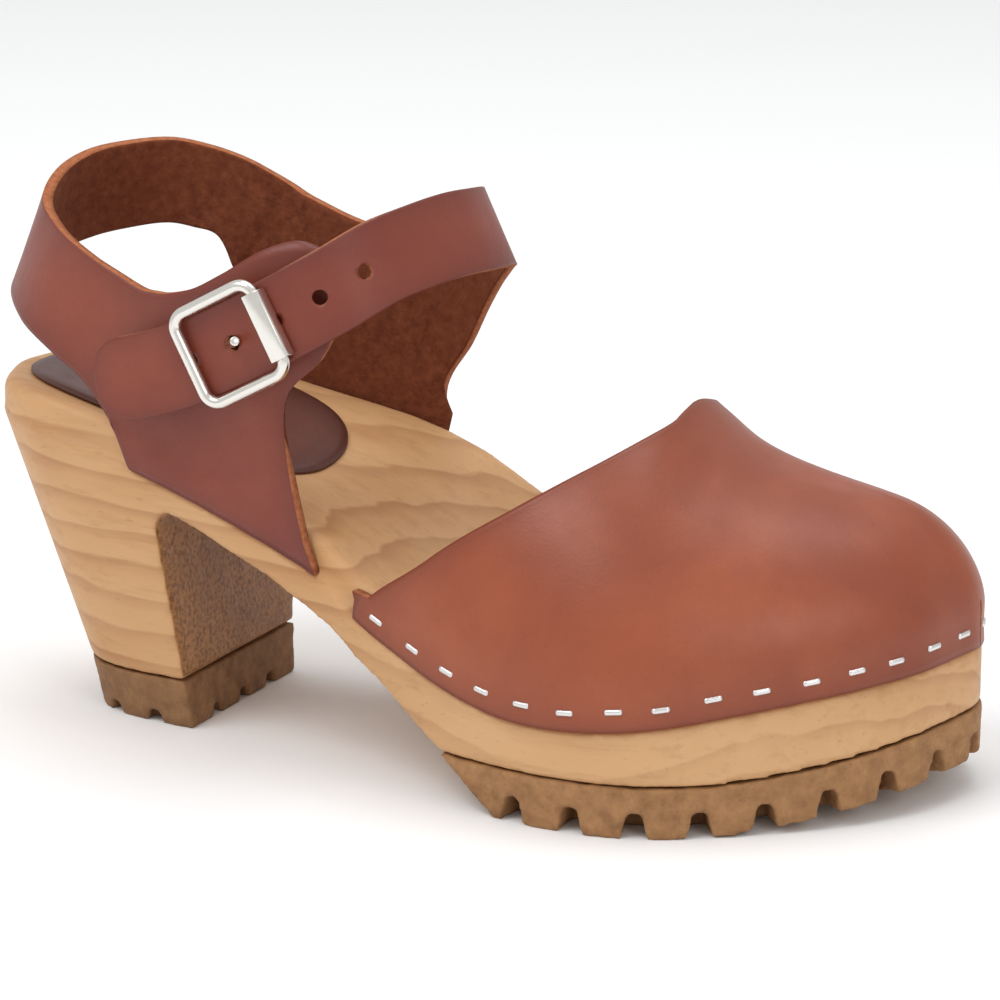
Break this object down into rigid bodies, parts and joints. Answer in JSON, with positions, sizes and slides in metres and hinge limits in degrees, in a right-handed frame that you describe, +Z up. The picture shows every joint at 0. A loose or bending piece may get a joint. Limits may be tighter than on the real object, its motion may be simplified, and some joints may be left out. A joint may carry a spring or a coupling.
{
  "type": "clog",
  "caption": "Right block-heeled platform clog: one-piece wooden sole, lugged rubber, closed stapled leather vamp and a wrapped ankle leather with a buckle.",
  "frame": {"origin": "middle of the bounding box in X and Y, on the plane of the lug bottoms", "axes": "+X from heel to toe, +Y to the medial side, +Z up"},
  "size_m": [0.2321, 0.096, 0.125],
  "materials": {
    "alder_wood": "pale alder, oiled",
    "crepe_rubber": "matt brown",
    "tan_leather": "smooth vegetable-tanned, soft sheen",
    "pad_leather": "smooth, worn",
    "nickel": "bright nickel"
  },
  "bodies": {
    "root": {"wooden_sole": "alder_wood", "forefoot_outsole": "crepe_rubber", "heel_top_piece": "crepe_rubber", "heel_pad": "pad_leather", "vamp": "tan_leather", "ankle_strip": "tan_leather", "buckle_frame": "nickel", "buckle_sleeve": "nickel", "buckle_plate": "nickel"}
  },
  "joints": []
}
